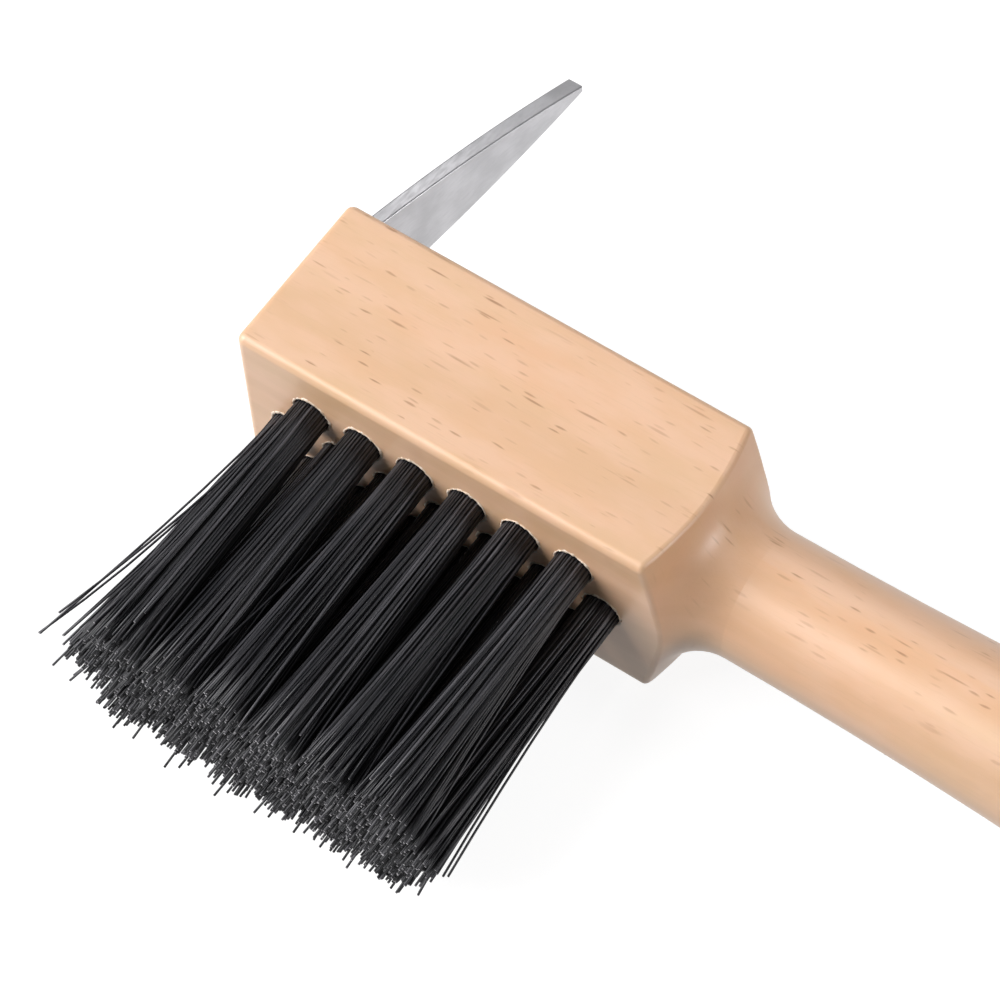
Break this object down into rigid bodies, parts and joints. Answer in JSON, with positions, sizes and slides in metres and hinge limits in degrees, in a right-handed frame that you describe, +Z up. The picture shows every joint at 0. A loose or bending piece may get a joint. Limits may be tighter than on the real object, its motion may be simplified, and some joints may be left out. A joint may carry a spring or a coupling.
{
  "type": "groove brush",
  "caption": "Hand brush with a square beech head turned down into a round handle, rows of stiff black bristle tufts on one side and a flat tapered steel pick on the other.",
  "frame": {"origin": "centre of the head block's lower large face, the face it rests on", "axes": "+X along the handle away from the head, +Y towards the pick, -Y the way the bristles point, +Z up from the rest face through the head"},
  "size_m": [0.2004, 0.1042, 0.0296],
  "materials": {
    "beech": "clear gloss varnish over sanded beech with short dark flecks",
    "pick_steel": "ground flat steel with bright cut edges",
    "screw_steel": "bright zinc-plated",
    "bristle": "black synthetic filament, semi-gloss, pale cut ends",
    "anchor_wire": "plain flat wire"
  },
  "bodies": {
    "root": {"wood_body": "beech", "pick": "pick_steel", "pick_screws": "screw_steel", "tuft_1_1": "bristle", "tuft_1_2": "bristle", "tuft_1_3": "bristle", "tuft_1_4": "bristle", "tuft_1_5": "bristle", "tuft_1_6": "bristle", "tuft_2_1": "bristle", "tuft_2_2": "bristle", "tuft_2_3": "bristle", "tuft_2_4": "bristle", "tuft_2_5": "bristle", "tuft_2_6": "bristle", "tuft_2_7": "bristle", "tuft_3_1": "bristle", "tuft_3_2": "bristle", "tuft_3_3": "bristle", "tuft_3_4": "bristle", "tuft_3_5": "bristle", "tuft_3_6": "bristle", "tuft_anchors": "anchor_wire"}
  },
  "joints": []
}
